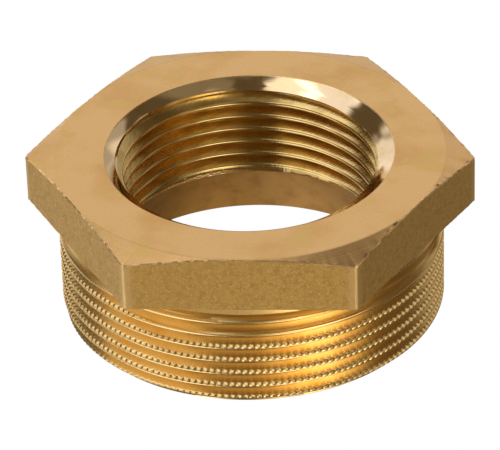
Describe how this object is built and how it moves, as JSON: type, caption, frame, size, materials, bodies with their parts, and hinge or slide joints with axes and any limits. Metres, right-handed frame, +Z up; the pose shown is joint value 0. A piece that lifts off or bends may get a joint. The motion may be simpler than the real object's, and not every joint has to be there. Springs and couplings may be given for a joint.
{
  "type": "hex bushing",
  "caption": "Brass reducing bushing: a chamfered hexagon head on a threaded spigot, with a smaller threaded bore through it that is countersunk at the top",
  "frame": {"origin": "centre of the thread end face, which the bushing stands on", "axes": "+Z up the common axis of both threads, from the outer thread's end to the hexagon; +X through a corner of the hexagon; -Y out of the flat that faces the viewer"},
  "size_m": [0.069, 0.06, 0.0265],
  "materials": {
    "brass": "satin turned brass, with rough forged flats on the hexagon"
  },
  "bodies": {
    "root": {"hex_bushing": "brass"}
  },
  "joints": []
}
